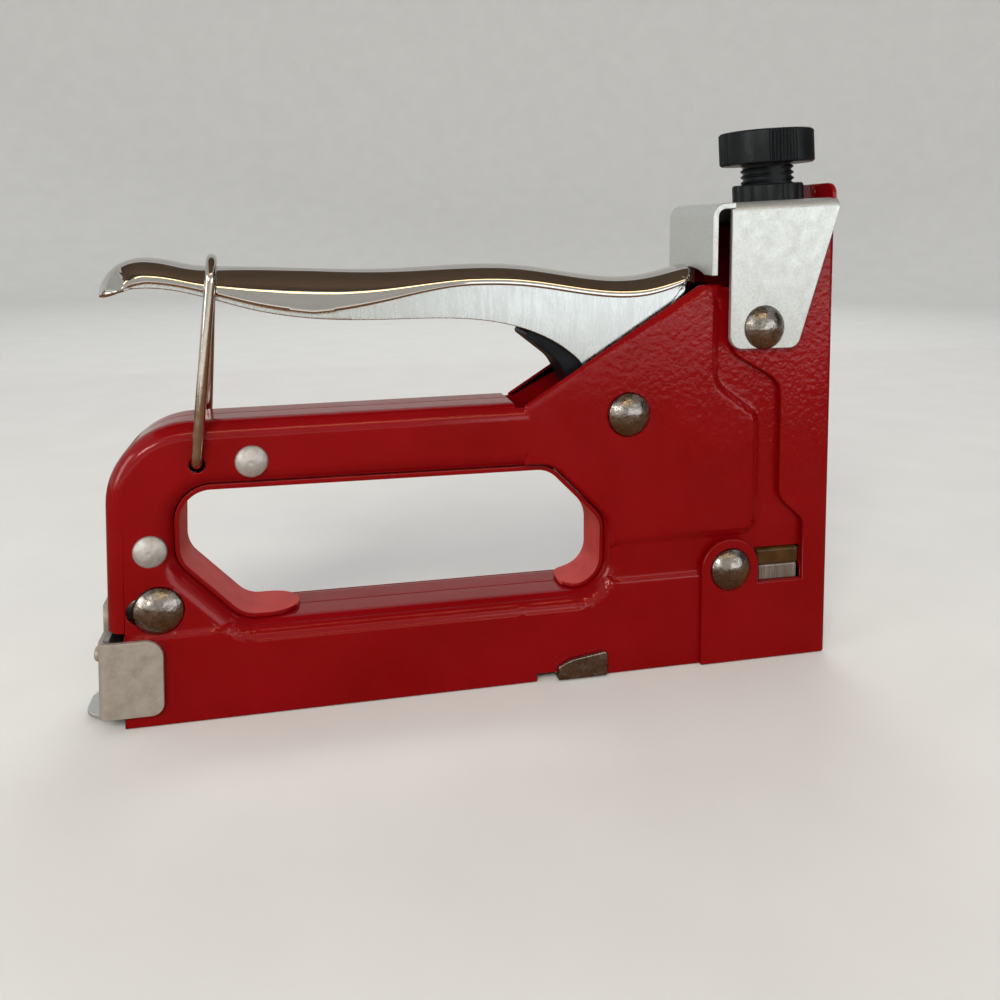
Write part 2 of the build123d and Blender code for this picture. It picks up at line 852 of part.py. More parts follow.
# Rivets across the body.
pivot_grip = panel_half - panel_step / 2
lever_pivot_rivet = domed_rivet((pivot_x, pivot_height), pivot_grip, dome_radius, dome_height, pivot_radius)
bracket_rivet = domed_rivet(domed_places[0], bracket_half, dome_radius, dome_height, dome_shank)
nose_rivet = domed_rivet(domed_places[1], plate_half, dome_radius, dome_height, dome_shank)
rear_rivet = domed_rivet(domed_places[2], side_half, dome_radius, dome_height, dome_shank)
upper_rivet = domed_rivet(small_places[0], side_half, small_radius, small_height, small_shank)
lower_rivet = domed_rivet(small_places[1], side_half, small_radius, small_height, small_shank)
handle_rivets = upper_rivet + lower_rivet


# Bail: one wire, its feet turned into the shells and its top lying over the lever's saddle.
def make_wire_bail():
    leg_y = side_half + rest_gap + bail_wire / 2
    top_z = lever_top + bail_gap + bail_wire / 2
    foot = (bail_foot_x, bail_hook - side_half, bail_foot_z)
    knee = (bail_foot_x, -leg_y, bail_foot_z)
    shoulder = (saddle_x, -leg_y, top_z)
    half_loop = [foot, knee, shoulder]
    other_half = [(x, -y, z) for x, y, z in reversed(half_loop)]
    bends = [bail_knee, bail_shoulder, bail_shoulder, bail_knee]
    path = FilletPolyline(*half_loop, *other_half, radius=bends)
    return sweep(Plane(path @ 0, z_dir=path % 0) * Circle(bail_wire / 2), path)


wire_bail = make_wire_bail()


# Magazine channel: fixed in the shells by an ear folded up outside each of them.
def make_magazine_channel():
    top = channel_floor + channel_height
    floor_top = channel_floor + channel_sheet
    room_half = channel_half - channel_sheet
    front = blade_back - channel_clear
    channel = block((channel_start, -channel_half, channel_floor), (front, channel_half, top))
    channel -= block((0, -room_half, floor_top), (far, room_half, far))
    ear_inner = magazine_half + ear_fit
    ear_outer = ear_inner + channel_sheet
    ear_end = ear_x + ear_length
    ear_face = side_face(
        (ear_x, channel_floor, 0),
        (ear_end, channel_floor, 0),
        (ear_end, channel_floor + ear_height, ear_corner),
        (ear_x + ear_ramp, channel_floor + ear_ramp_rise, ear_bend),
        (ear_x, channel_floor + ear_back_rise, ear_corner),
    )
    foot = block((ear_x, -ear_outer, channel_floor), (ear_end, -room_half, floor_top))
    return channel + both_sides(slab(ear_face, ear_inner, ear_outer) + foot)


magazine_channel = make_magazine_channel()


def cap_rivet_bars(radius, start, end):
    """Two round bars along the tool, where the rivets join the cap and the rail."""
    return both_sides(Pos(0, -cap_rivet_y, 0) * along(radius, start, end, cap_rivet_z))


# Staple rail: an inverted channel fixed to the cap by a tab, slotted along its top for the follower.
def make_staple_rail():
    toe_x = latch_pin_x - latch_pin_radius - latch_pin_wall
    toe_end = latch_pin_x + latch_pin_radius + latch_pin_wall
    toe_foot = latch_pin_z - latch_pin_radius - latch_pin_wall
    rail = block((cap_inside, -rail_half, rail_bottom), (rail_front, rail_half, rail_top))
    rail -= block((-far, -rail_inner, 0), (rail_wall, rail_inner, rail_top - rail_sheet))
    rail -= block((rail_slot_start, -rail_slot, 0), (rail_wall, rail_slot, far))
    rail -= block((-far, -far, 0), (toe_x, far, cap_bottom + rest_gap))
    rail += both_sides(block((toe_x, -rail_half, toe_foot), (toe_end, -rail_inner, rail_bottom)))
    rail -= cross_pin(latch_pin_x, latch_pin_z, latch_pin_radius + shank_fit, rail_half)
    tab_low = (cap_inside, -rail_tab_half, rail_top - rail_sheet)
    tab = block(tab_low, (cap_inside + rail_sheet, rail_tab_half, cap_top))
    return rail + tab - cap_rivet_bars(cap_rivet_radius / 2 + shank_fit, -far, far)


def make_guide_rod():
    rod = along(rod_radius, cap_inside, rail_wall, rod_height)
    return rod + along(rod_collar, collar_x - collar_thick, collar_x, rod_height)


def make_follower():
    room_half = rail_half + follower_gap
    room_top = rail_top + follower_gap
    skin_half = room_half + follower_sheet
    skin_top = room_top + follower_sheet
    saddle = block((follower_back, -skin_half, follower_foot), (rail_front, skin_half, skin_top))
    saddle -= block((-far, -room_half, 0), (far, room_half, room_top))
    web_half = rail_slot - follower_gap
    web_front = rail_wall - follower_gap
    web = block((follower_back, -web_half, rod_height), (web_front, web_half, skin_top))
    hub = along(rod_radius + hub_wall, follower_back, web_front, rod_height)
    return saddle + web + hub - along(rod_radius + shank_fit, -far, far, rod_height)


def make_follower_spring():
    room = follower_back - collar_x - 2 * rest_gap - push_wire
    wound = coil(push_radius, room / push_turns, push_turns, push_wire)
    return Pos(collar_x + rest_gap + push_wire / 2, 0, rod_height) * Rot(0, 90, 0) * wound


staple_rail = make_staple_rail()
guide_rod = make_guide_rod()
follower = make_follower()
follower_spring = make_follower_spring()


# Rear cap: bent round the back end of the shells, with a tab up behind them and two rivets to the rail.
def make_rear_cap():
    inner = magazine_half + ear_fit
    outer = inner + cap_sheet
    plan = Pos(-cap_overhang, 0) * Rectangle(cap_overhang + cap_length, 2 * outer, align=forward)
    plan = fillet(plan.vertices().group_by(Axis.X)[0], cap_bend)
    room = Pos(cap_inside, 0) * Rectangle(2 * cap_length, 2 * inner, align=forward)
    room = fillet(room.vertices().group_by(Axis.X)[0], cap_bend - cap_sheet)
    wings = side_face(
        (-cap_overhang, cap_bottom, 0),
        (cap_length, cap_bottom, cap_foot_corner),
        (cap_length, cap_top, cap_top_corner),
        (-cap_overhang, cap_top, 0),
    )
    cap = extrude(plan - room, far) & across(wings, outer)
    cap += block((-cap_overhang, -cap_tab_half, cap_rivet_z), (cap_inside, cap_tab_half, cap_top + cap_tab))
    return cap - cap_rivet_bars(cap_rivet_radius / 2 + shank_fit, -far, far)


def make_cap_rivets():
    tail_x = cap_inside + rail_sheet
    heads = cap_rivet_bars(cap_rivet_radius, -cap_overhang - cap_rivet_head, -cap_overhang)
    heads = fillet(heads.edges().group_by(Axis.X)[0], 0.7 * cap_rivet_head)
    shanks = cap_rivet_bars(cap_rivet_radius / 2, -cap_overhang, tail_x)
    return heads + shanks + cap_rivet_bars(cap_rivet_radius, tail_x, tail_x + rail_sheet)


rear_cap = make_rear_cap()
cap_rivets = make_cap_rivets()


# Latch: a rounded tongue under the cap with a few teeth along its edges, rolled round a pin at its front end.
def make_latch_tongue():
    neck_half = rail_inner - rest_gap
    plan = Pos(-latch_reach, 0) * Rectangle(latch_reach + latch_grip, 2 * latch_half, align=forward)
    plan = fillet(plan.vertices().group_by(Axis.X)[0], latch_corner)
    for tooth in range(latch_teeth):
        tooth_x = latch_grip - tooth_radius - tooth_pitch * tooth
        plan += both_sides(Pos(tooth_x, latch_half) * Circle(tooth_radius))
    plan += Rectangle(latch_pin_x, 2 * neck_half, align=forward)
    tongue = Pos(0, 0, latch_pin_z - latch_curl) * extrude(plan, latch_sheet)
    tongue += cross_pin(latch_pin_x, latch_pin_z, latch_curl, neck_half)
    return tongue - cross_pin(latch_pin_x, latch_pin_z, latch_curl - latch_sheet, rail_half)


latch_pin = cross_pin(latch_pin_x, latch_pin_z, latch_pin_radius, rail_half)
latch_tongue = make_latch_tongue()

# Everything is drawn from the back of the handle and saved about the middle of the length.
pieces = {
    "right_shell": right_shell,
    "left_shell": left_shell,
    "handle_liner": handle_liner,
    "front_plate": front_plate,
    "top_bracket": top_bracket,
    "knob_bush": knob_bush,
    "adjusting_knob": adjusting_knob,
    "spring_seat": spring_seat,
    "main_spring": main_spring,
    "plunger": plunger,
    "driver_blade": driver_blade,
    "buffer_support": buffer_support,
    "buffer": buffer,
    "lever": lever,
    "lifter_arm": lifter_arm,
    "pivot_bush": pivot_bush,
    "lever_return_spring": lever_return_spring,
    "lever_pivot_rivet": lever_pivot_rivet,
    "bracket_rivet": bracket_rivet,
    "nose_rivet": nose_rivet,
    "rear_rivet": rear_rivet,
    "handle_rivets": handle_rivets,
    "wire_bail": wire_bail,
    "magazine_channel": magazine_channel,
    "staple_rail": staple_rail,
    "guide_rod": guide_rod,
    "follower": follower,
    "follower_spring": follower_spring,
    "rear_cap": rear_cap,
    "cap_rivets": cap_rivets,
    "latch_pin": latch_pin,
    "latch_tongue": latch_tongue,
}
os.makedirs("parts", exist_ok=True)
for name, piece in pieces.items():
    export_step(Pos(-centre_x, 0, 0) * piece, os.path.join("parts", name + ".step"))
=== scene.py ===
import json
from math import asin, atan2, cos, pi, radians, sin

import bmesh
import bpy
from mathutils import Matrix, Vector
from mathutils.bvhtree import BVHTree


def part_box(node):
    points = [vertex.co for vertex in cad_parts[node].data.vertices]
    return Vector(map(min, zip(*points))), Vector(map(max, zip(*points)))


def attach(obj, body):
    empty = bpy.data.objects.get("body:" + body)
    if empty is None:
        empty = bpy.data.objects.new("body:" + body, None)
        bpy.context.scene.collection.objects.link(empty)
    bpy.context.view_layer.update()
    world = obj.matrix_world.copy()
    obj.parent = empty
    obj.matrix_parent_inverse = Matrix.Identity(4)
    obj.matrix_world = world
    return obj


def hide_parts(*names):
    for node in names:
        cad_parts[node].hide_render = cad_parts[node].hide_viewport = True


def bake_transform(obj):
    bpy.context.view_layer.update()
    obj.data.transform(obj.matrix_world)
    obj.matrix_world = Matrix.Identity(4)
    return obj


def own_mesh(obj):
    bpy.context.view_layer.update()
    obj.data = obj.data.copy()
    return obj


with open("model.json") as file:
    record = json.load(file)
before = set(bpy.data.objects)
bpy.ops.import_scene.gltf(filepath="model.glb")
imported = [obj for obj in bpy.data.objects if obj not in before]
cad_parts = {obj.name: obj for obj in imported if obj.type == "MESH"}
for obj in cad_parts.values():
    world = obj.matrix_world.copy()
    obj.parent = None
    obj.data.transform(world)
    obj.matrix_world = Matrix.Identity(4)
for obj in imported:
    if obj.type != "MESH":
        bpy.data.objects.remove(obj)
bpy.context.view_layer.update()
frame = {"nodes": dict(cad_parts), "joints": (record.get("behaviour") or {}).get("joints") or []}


# Body shells.
# Two halves pressed from one-millimetre steel sheet, meeting in a seam on the middle plane.
# They are enamelled deep red after pressing, and the enamel has set with the skin of an orange near the nose.
sheet_edge = 0.00022
corner_turn = 60
thin_cusp = 25
flat_turn = 0.5
touching = 0.000002
on_plane = 1e-7
facing_out = 0.35
outer_face = 0.0088
flat_side = 0.00955
cut_gap = 0.00075
smoothing_rounds = 6
handle_zone = ((-0.078, 0.0135), (0.0095, 0.045))
nose_zone = ((0.0095, 0.0135), (0.078, 0.092))


def merged_copy(node):
    """A copy of a CAD piece with its loose triangles joined up and its flat faces made whole."""
    metal = bmesh.new()
    metal.from_mesh(frame["nodes"][node].data)
    bmesh.ops.remove_doubles(metal, verts=metal.verts, dist=touching)
    bmesh.ops.dissolve_limit(metal, angle_limit=radians(flat_turn), verts=metal.verts, edges=metal.edges)
    return metal


def sharp_edges(metal, least):
    """The outer edges that turn by more than this many degrees, without those that run into a thin cusp."""
    sharp = {
        edge for edge in metal.edges
        if edge.is_manifold and edge.calc_face_angle_signed() > radians(least)}
    cusps = {
        loop.vert for face in metal.faces for loop in face.loops
        if loop.edge in sharp and loop.link_loop_prev.edge in sharp
        and loop.calc_angle() < radians(thin_cusp)}
    return [edge for edge in metal.edges if edge in sharp and not cusps.intersection(edge.verts)]


def break_edges(metal, least, width, rounds):
    """Rounds off the edges that turn this far, as tumbling and plating leave the edges of sheet metal."""
    bmesh.ops.bevel(
        metal, geom=sharp_edges(metal, least), offset=width, offset_type="OFFSET", affect="EDGES",
        segments=rounds, profile=0.5, material=-1)


def as_piece(name, metal, finish):
    """Makes an object of the mesh, shaded smooth, with large flat faces keeping their flatness."""
    mesh = bpy.data.meshes.new(name)
    metal.to_mesh(mesh)
    metal.free()
    mesh.shade_smooth()
    mesh.materials.append(finish)
    piece = bpy.data.objects.new(name, mesh)
    bpy.context.scene.collection.objects.link(piece)
    even = piece.modifiers.new("even shading", "WEIGHTED_NORMAL")
    even.keep_sharp = False
    even.weight = 100
    return piece


def stands_for(piece, body, slot, *nodes):
    """The piece rides on this body and is shown in place of these CAD nodes; the slot is not used."""
    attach(piece, body)
    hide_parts(*nodes)


def start_finish(name, colour, metallic, roughness):
    """A new finish with the values that are the same all over: its material, node tree and shader."""
    finish = bpy.data.materials.new(name)
    finish.use_nodes = True
    shader = finish.node_tree.nodes["Principled BSDF"]
    shader.inputs["Base Color"].default_value = (*colour, 1)
    shader.inputs["Metallic"].default_value = metallic
    shader.inputs["Roughness"].default_value = roughness
    return finish, finish.node_tree, shader


def places(tree, stretch=(1, 1, 1)):
    """The places on the object in metres, stretched along the axes."""
    coordinates = tree.nodes.new("ShaderNodeTexCoord")
    mapping = tree.nodes.new("ShaderNodeMapping")
    mapping.inputs["Scale"].default_value = stretch
    tree.links.new(coordinates.outputs["Object"], mapping.inputs["Vector"])
    return mapping.outputs["Vector"]


def clouds(tree, where, per_metre, detail=2.0, roughness=0.5):
    """Soft random clouds, this many to a metre."""
    noise = tree.nodes.new("ShaderNodeTexNoise")
    noise.inputs["Scale"].default_value = per_metre
    noise.inputs["Detail"].default_value = detail
    noise.inputs["Roughness"].default_value = roughness
    tree.links.new(where, noise.inputs["Vector"])
    return noise.outputs["Fac"]


def spread(tree, amount, from_low, from_high, to_low, to_high):
    """Turns one range of amounts into another."""
    span = tree.nodes.new("ShaderNodeMapRange")
    span.inputs["From Min"].default_value = from_low
    span.inputs["From Max"].default_value = from_high
    span.inputs["To Min"].default_value = to_low
    span.inputs["To Max"].default_value = to_high
    tree.links.new(amount, span.inputs["Value"])
    return span.outputs["Result"]


def relief(tree, height, depth, over=None):
    """Raises the surface by this height, up to depth in metres, over a relief that is there already."""
    bump = tree.nodes.new("ShaderNodeBump")
    bump.inputs["Distance"].default_value = depth
    bump.inputs["Strength"].default_value = 1
    tree.links.new(height, bump.inputs["Height"])
    if over:
        tree.links.new(over, bump.inputs["Normal"])
    return bump.outputs["Normal"]


def tint(tree, shader, amount, dark, pale, low=0.3, high=0.7):
    """Colours the finish from dark to pale, as this amount goes from low to high."""
    ramp = tree.nodes.new("ShaderNodeValToRGB")
    for band, position, colour in zip(ramp.color_ramp.elements, (low, high), (dark, pale)):
        band.position = position
        band.color = (*colour, 1)
    tree.links.new(amount, ramp.inputs["Fac"])
    tree.links.new(ramp.outputs["Color"], shader.inputs["Base Color"])


def dull_patches(tree, shader, where, per_metre, least, most):
    """Makes the finish duller in some places than in others, between these roughnesses."""
    dull = spread(tree, clouds(tree, where, per_metre, 4), 0.3, 0.7, least, most)
    tree.links.new(dull, shader.inputs["Roughness"])


def product(tree, one, other):
    """One amount times another."""
    times = tree.nodes.new("ShaderNodeMath")
    times.operation = "MULTIPLY"
    tree.links.new(one, times.inputs[0])
    tree.links.new(other, times.inputs[1])
    return times.outputs[0]


def along_axes(tree, where, axis):
    """How far the places lie along an axis, in metres."""
    apart = tree.nodes.new("ShaderNodeVectorMath")
    apart.operation = "DOT_PRODUCT"
    apart.inputs[1].default_value = axis
    tree.links.new(where, apart.inputs[0])
    return apart.outputs["Value"]


def make_red_enamel():
    finish, tree, shader = start_finish("red enamel", (0.18, 0.0015, 0.003), 0.0, 0.14)
    shader.inputs["Specular Tint"].default_value = (1.0, 0.6, 0.6, 1)
    where = places(tree)
    tint(tree, shader, clouds(tree, where, 45, 3), (0.165, 0.001, 0.002), (0.2, 0.002, 0.004))
    dull_patches(tree, shader, where, 140, 0.1, 0.17)
    waves = relief(tree, clouds(tree, where, 130, 1), 0.00006)
    coarse = spread(tree, along_axes(tree, where, (1, 0, 1)), 0.09, 0.145, 0.14, 1)
    skin = relief(tree, product(tree, clouds(tree, where, 680, 1.5), coarse), 0.00017, over=waves)
    tree.links.new(skin, shader.inputs["Normal"])
    return finish


def slice_faces(metal, faces, axis, levels):
    """Cuts these faces across an axis at each level, and gives all the faces that they become."""
    geometry = faces + list({edge for face in faces for edge in face.edges})
    geometry += list({vert for face in faces for vert in face.verts})
    for level in levels:
        cut = bmesh.ops.bisect_plane(
            metal, geom=geometry, dist=on_plane, plane_co=axis * level, plane_no=axis)
        geometry = cut["geom"]
    return [item for item in geometry if isinstance(item, bmesh.types.BMFace)]


def soften_steps(metal, side, low, high):
    """Draws the pressed steps on this side, between two corners, into the soft slopes of a pressing."""
    along, upward = Vector((1, 0, 0)), Vector((0, 0, 1))
    faces = [
        face for face in metal.faces
        if face.normal.y * side > facing_out and face.calc_center_median().y * side > outer_face]
    faces = slice_faces(metal, faces, along, (low[0], high[0]))
    faces = slice_faces(metal, faces, upward, (low[1], high[1]))
    middles = {face: face.calc_center_median() for face in faces}
    faces = [
        face for face, middle in middles.items()
        if low[0] < middle.x < high[0] and low[1] < middle.z < high[1]]
    for axis, first, last in ((along, low[0], high[0]), (upward, low[1], high[1])):
        levels = [first + cut_gap * count for count in range(1, int((last - first) / cut_gap))]
        faces = slice_faces(metal, faces, axis, levels)
    inside = set(faces)
    verts = [
        vert for vert in {vert for face in faces for vert in face.verts}
        if vert.co.y * side > flat_side and all(face in inside for face in vert.link_faces)]
    for _ in range(smoothing_rounds):
        bmesh.ops.smooth_vert(metal, verts=verts, factor=0.5, use_axis_y=True)


red_enamel = make_red_enamel()
for node, side in (("right_shell", -1), ("left_shell", 1)):
    pressing = merged_copy(node)
    break_edges(pressing, corner_turn, sheet_edge, rounds=2)
    for zone in (handle_zone, nose_zone):
        soften_steps(pressing, side, *zone)
    shell = as_piece(node + "_enamelled", pressing, red_enamel)
    stands_for(shell, "body", "red_enamel", node)


# Handle liner.
# A strip bent round inside the hand opening, so that fingers do not meet the edges of the shells.
# It has a thin matt coat of the same red, paler and pinker than the enamel; its rims take the darker enamel
# red as painted shade.
strip_turn = 50
tongue_level = 0.042
tongue_taper = 0.16
tongue_run = 0.008
painted_shade_facing = 0.5


def rough_grain(tree, shader, where, per_metre, depth, detail=3):
    """Gives the surface a fine random grain."""
    grain = relief(tree, clouds(tree, where, per_metre, detail), depth)
    tree.links.new(grain, shader.inputs["Normal"])


def make_liner_red():
    finish, tree, shader = start_finish("liner red", (0.42, 0.035, 0.032), 0.0, 0.5)
    where = places(tree)
    tint(tree, shader, clouds(tree, where, 240, 4), (0.36, 0.028, 0.025), (0.5, 0.045, 0.04), high=0.75)
    rough_grain(tree, shader, where, 1800, 0.00003)
    return finish


liner = merged_copy("handle_liner")
for vert in liner.verts:
    vert.co.y *= 1 - tongue_taper * min(max((tongue_level - vert.co.z) / tongue_run, 0), 1)
break_edges(liner, strip_turn, sheet_edge, rounds=2)
# Faces turned to the sides, the strip's rims, take the darker enamel red as painted shade.
for face in liner.faces:
    face.material_index = 1 if abs(face.normal.y) > painted_shade_facing else 0
lining = as_piece("handle_liner_coated", liner, make_liner_red())
lining.data.materials.append(red_enamel)
stands_for(lining, "body", "liner_red", "handle_liner")


# Nose plate.
# A channel bent round the front of both shells from thicker sheet, with its edges cut to a flowing line.
# It is enamelled with the body, and a tab of it stands up in front of the bracket.
nose_edge = 0.0003
cheek_side = 0.0103
flow_low = 0.0355
flow_high = 0.0828
flow_front = 0.0843
flow_long = 0.004
flow_gap = 0.0006
flow_rounds = 30


def on_flow(vert):
    """Whether this point lies on the flowing back edge of a cheek."""
    return abs(vert.co.y) > cheek_side and flow_low < vert.co.z < flow_high and vert.co.x < flow_front


nose = merged_copy("front_plate")
long_edges = [
    edge for edge in nose.edges if all(map(on_flow, edge.verts)) and edge.calc_length() > flow_long]
for edge in long_edges:
    bmesh.ops.subdivide_edges(nose, edges=[edge], cuts=int(edge.calc_length() / flow_gap))
free = [
    vert for vert in nose.verts if all(on_flow(end) for edge in vert.link_edges for end in edge.verts)]
for _ in range(flow_rounds):
    bmesh.ops.smooth_vert(nose, verts=free, factor=0.5, use_axis_x=True, use_axis_z=True)
break_edges(nose, strip_turn, nose_edge, rounds=3)
stands_for(as_piece("front_plate_enamelled", nose, red_enamel), "body", "red_enamel", "front_plate")


# Top bracket.
# Cut and bent from zinc-plated steel strip: two cheeks, a sloping top and a flap folded down behind.
# The plating is bright and satin, with a fine mottled grain.
bracket_edge = 0.00025


def make_zinc_plate():
    finish, tree, shader = start_finish("zinc plate", (0.55, 0.57, 0.56), 0.75, 0.42)
    where = places(tree)
    grains = clouds(tree, where, 2100, 4, 0.7)
    tint(tree, shader, grains, (0.57, 0.59, 0.58), (0.7, 0.73, 0.71), 0.35, 0.65)
    dull_patches(tree, shader, where, 300, 0.32, 0.44)
    tree.links.new(relief(tree, grains, 0.000012), shader.inputs["Normal"])
    return finish


def show_edged(node, ending, finish, body, slot, least, width, rounds):
    """Shows a CAD piece in this finish with its sharp edges broken, named for the way it was made."""
    metal = merged_copy(node)
    break_edges(metal, least, width, rounds)
    stands_for(as_piece(node + "_" + ending, metal, finish), body, slot, node)


zinc_plate = make_zinc_plate()
show_edged("top_bracket", "plated", zinc_plate, "body", "zinc_plate", strip_turn, bracket_edge, rounds=3)


# Adjusting knob and its bush.
# Black plastic: the head is grooved in four groups for the fingers, and its stem screws through the bush.
# The stem's thread is broken by two flats where the mould parts, and the bush is fluted like a nut.
knob_radius = 0.0121
knob_foot = 0.0096
knob_height = 0.0086
knob_edge = 0.0005
knob_points = 1080
lid_radius = 0.0094
lid_drop = 0.0004
groove_groups = 4
groove_count = 8
groove_turn = radians(4.5)
groove_set = radians(-8)
groove_half = 0.43
groove_depth = 0.00052
stem_radius = 0.0068
stem_foot = -0.0069
stem_top = knob_foot - 0.000001
stem_flat = radians(27)
thread_pitch = 0.0015
thread_depth = 0.00075
crest_start = 0.42
crest_end = 0.58
turn_steps = 60
thread_seam = 0.000005
bush_radius = 0.0092
bush_height = 0.0044
bush_bore = 0.00695
bush_points = 480
flute_count = 12
flute_depth = 0.0005


def make_black_plastic():
    finish, tree, shader = start_finish("black plastic", (0.006, 0.008, 0.009), 0.0, 0.36)
    shader.inputs["Specular IOR Level"].default_value = 0.22
    where = places(tree)
    tint(tree, shader, clouds(tree, where, 260, 4), (0.004, 0.006, 0.007), (0.009, 0.012, 0.014), high=0.75)
    dull_patches(tree, shader, where, 500, 0.28, 0.44)
    rough_grain(tree, shader, where, 2200, 0.00003)
    return finish


def turned_from(angle, other):
    """How far one direction is turned from another, between minus and plus half a turn."""
    return (angle - other + pi) % (2 * pi) - pi


def raise_ring(plastic, edges, rise, scale):
    """Carries a ring of edges upward and draws it in, and gives the new ring's edges."""
    raised = bmesh.ops.extrude_edge_only(plastic, edges=edges)["geom"]
    verts = [item for item in raised if isinstance(item, bmesh.types.BMVert)]
    bmesh.ops.translate(plastic, verts=verts, vec=(0, 0, rise))
    bmesh.ops.scale(plastic, verts=verts, vec=(scale, scale, 1))
    new_edges = [item for item in raised if isinstance(item, bmesh.types.BMEdge)]
    return [edge for edge in new_edges if all(vert in verts for vert in edge.verts)]


def round_ring(edges, radius):
    """Makes a grooved or fluted ring of edges truly round."""
    for vert in {vert for edge in edges for vert in edge.verts}:
        vert.co.xy = vert.co.xy.normalized() * radius


def joint_named(name):
    """The CAD joint of this name."""
    return next(joint for joint in frame["joints"] if joint["name"] == name)


def on_screw_axis(plastic):
    """Moves a piece made upright at the origin to the screw's leaning axis."""
    screw = joint_named("knob_turn")
    lean = Vector((0, 0, 1)).rotation_difference(Vector(screw["axis"])).to_matrix()
    bmesh.ops.rotate(plastic, verts=plastic.verts, cent=(0, 0, 0), matrix=lean)
    bmesh.ops.translate(plastic, verts=plastic.verts, vec=screw["pos_m"])


def close_holes(metal):
    """Closes every open rim with a face."""
    bmesh.ops.holes_fill(metal, edges=[edge for edge in metal.edges if edge.is_boundary], sides=0)


black_plastic = make_black_plastic()
knob = bmesh.new()
ring = bmesh.ops.create_circle(knob, cap_ends=True, segments=knob_points, radius=knob_radius)["verts"]
grooves = [
    groove_set + 2 * pi * group / groove_groups + groove_turn * (groove - (groove_count - 1) / 2)
    for group in range(groove_groups) for groove in range(groove_count)]
for vert in ring:
    angle = atan2(vert.co.y, vert.co.x)
    nearest = min(abs(turned_from(angle, groove)) for groove in grooves)
    dip = max(0, 1 - (nearest / (groove_half * groove_turn)) ** 2) ** 0.5
    vert.co.xy *= 1 - groove_depth / knob_radius * dip
eased = 1 - knob_edge / knob_radius
bmesh.ops.scale(knob, verts=ring, vec=(eased, eased, 1))
bmesh.ops.translate(knob, verts=ring, vec=(0, 0, knob_foot))
rim = raise_ring(knob, knob.edges[:], knob_edge, 1 / eased)
rim = raise_ring(knob, rim, knob_height - 2 * knob_edge, 1)
rim = raise_ring(knob, rim, knob_edge, eased)
rim = raise_ring(knob, rim, 0, lid_radius / knob_radius)
round_ring(rim, lid_radius)
rim = raise_ring(knob, rim, -lid_drop, 1 - lid_drop / lid_radius)
bmesh.ops.contextual_create(knob, geom=rim)
stem_root = stem_radius - thread_depth
thread_form = ((stem_root, 0), (stem_radius, crest_start), (stem_radius, crest_end), (stem_root, 1))
profile = [knob.verts.new((reach, 0, stem_foot + share * thread_pitch)) for reach, share in thread_form]
flanks = [knob.edges.new(pair) for pair in zip(profile, profile[1:])]
thread_turns = int((knob_foot - stem_foot) / thread_pitch)
bmesh.ops.spin(
    knob, geom=profile + flanks, axis=(0, 0, 1), cent=(0, 0, 0), angle=2 * pi * thread_turns,
    steps=turn_steps * thread_turns, dvec=(0, 0, thread_pitch / turn_steps))
flat_way = Vector((cos(groove_set - pi / 2), sin(groove_set - pi / 2)))
flat_reach = stem_radius * cos(stem_flat)
for vert in knob.verts:
    reach = vert.co.xy.dot(flat_way)
    if vert.co.z < stem_top and abs(reach) > flat_reach:
        vert.co.xy -= flat_way * (reach - flat_reach * (1 if reach > 0 else -1))
bmesh.ops.remove_doubles(knob, verts=knob.verts, dist=thread_seam)
close_holes(knob)
bmesh.ops.recalc_face_normals(knob, faces=knob.faces)
on_screw_axis(knob)
head = as_piece("adjusting_knob_grooved", knob, black_plastic)
stands_for(head, "knob", "black_plastic", "adjusting_knob")

bush = bmesh.new()
ring = bmesh.ops.create_circle(bush, cap_ends=False, segments=bush_points, radius=bush_radius)["verts"]
for vert in ring:
    flute = (0.5 + 0.5 * cos(flute_count * atan2(vert.co.y, vert.co.x))) ** 2
    vert.co.xy *= 1 - flute_depth / bush_radius * flute
outer = raise_ring(bush, bush.edges[:], bush_height - knob_edge, 1)
outer = raise_ring(bush, outer, knob_edge, eased)
outer = raise_ring(bush, outer, 0, (bush_bore + knob_edge) / (bush_radius - knob_edge))
round_ring(outer, bush_bore + knob_edge / 2)
outer = raise_ring(bush, outer, -knob_edge, bush_bore / (bush_bore + knob_edge / 2))
raise_ring(bush, outer, knob_edge - bush_height, 1)
bmesh.ops.recalc_face_normals(bush, faces=bush.faces)
on_screw_axis(bush)
stands_for(as_piece("knob_bush_fluted", bush, black_plastic), "body", "black_plastic", "knob_bush")


# Striking parts.
# Seat, main spring, plunger and blade stand in line under the knob; seat and plunger are blackened steel.
# The spring is hard-drawn wire, shown in two pieces: its lower coils and its upper coils.
lower_coils = 0.7
coil_parting = 0.00002


def make_spring_steel():
    finish, tree, shader = start_finish("spring steel", (0.33, 0.33, 0.34), 1.0, 0.3)
    dull_patches(tree, shader, places(tree), 700, 0.22, 0.42)
    return finish


def make_dark_steel():
    finish, tree, shader = start_finish("dark steel", (0.006, 0.007, 0.01), 0.0, 0.4)
    shader.inputs["Specular IOR Level"].default_value = 0.12
    where = places(tree)
    tint(tree, shader, clouds(tree, where, 350, 4), (0.004, 0.005, 0.007), (0.011, 0.012, 0.016), high=0.75)
    rough_grain(tree, shader, where, 1500, 0.00002)
    return finish


def carry(finish, *nodes):
    """These CAD nodes are shown as they are, in this finish."""
    for node in nodes:
        mesh = frame["nodes"][node].data
        mesh.materials.clear()
        mesh.materials.append(finish)


def cut_away(metal, place, way):
    """Takes off all that lies beyond a plane, seen along this way, and closes the cut."""
    bmesh.ops.bisect_plane(
        metal, geom=metal.verts[:] + metal.edges[:] + metal.faces[:], plane_co=place, plane_no=way,
        clear_outer=True)
    close_holes(metal)


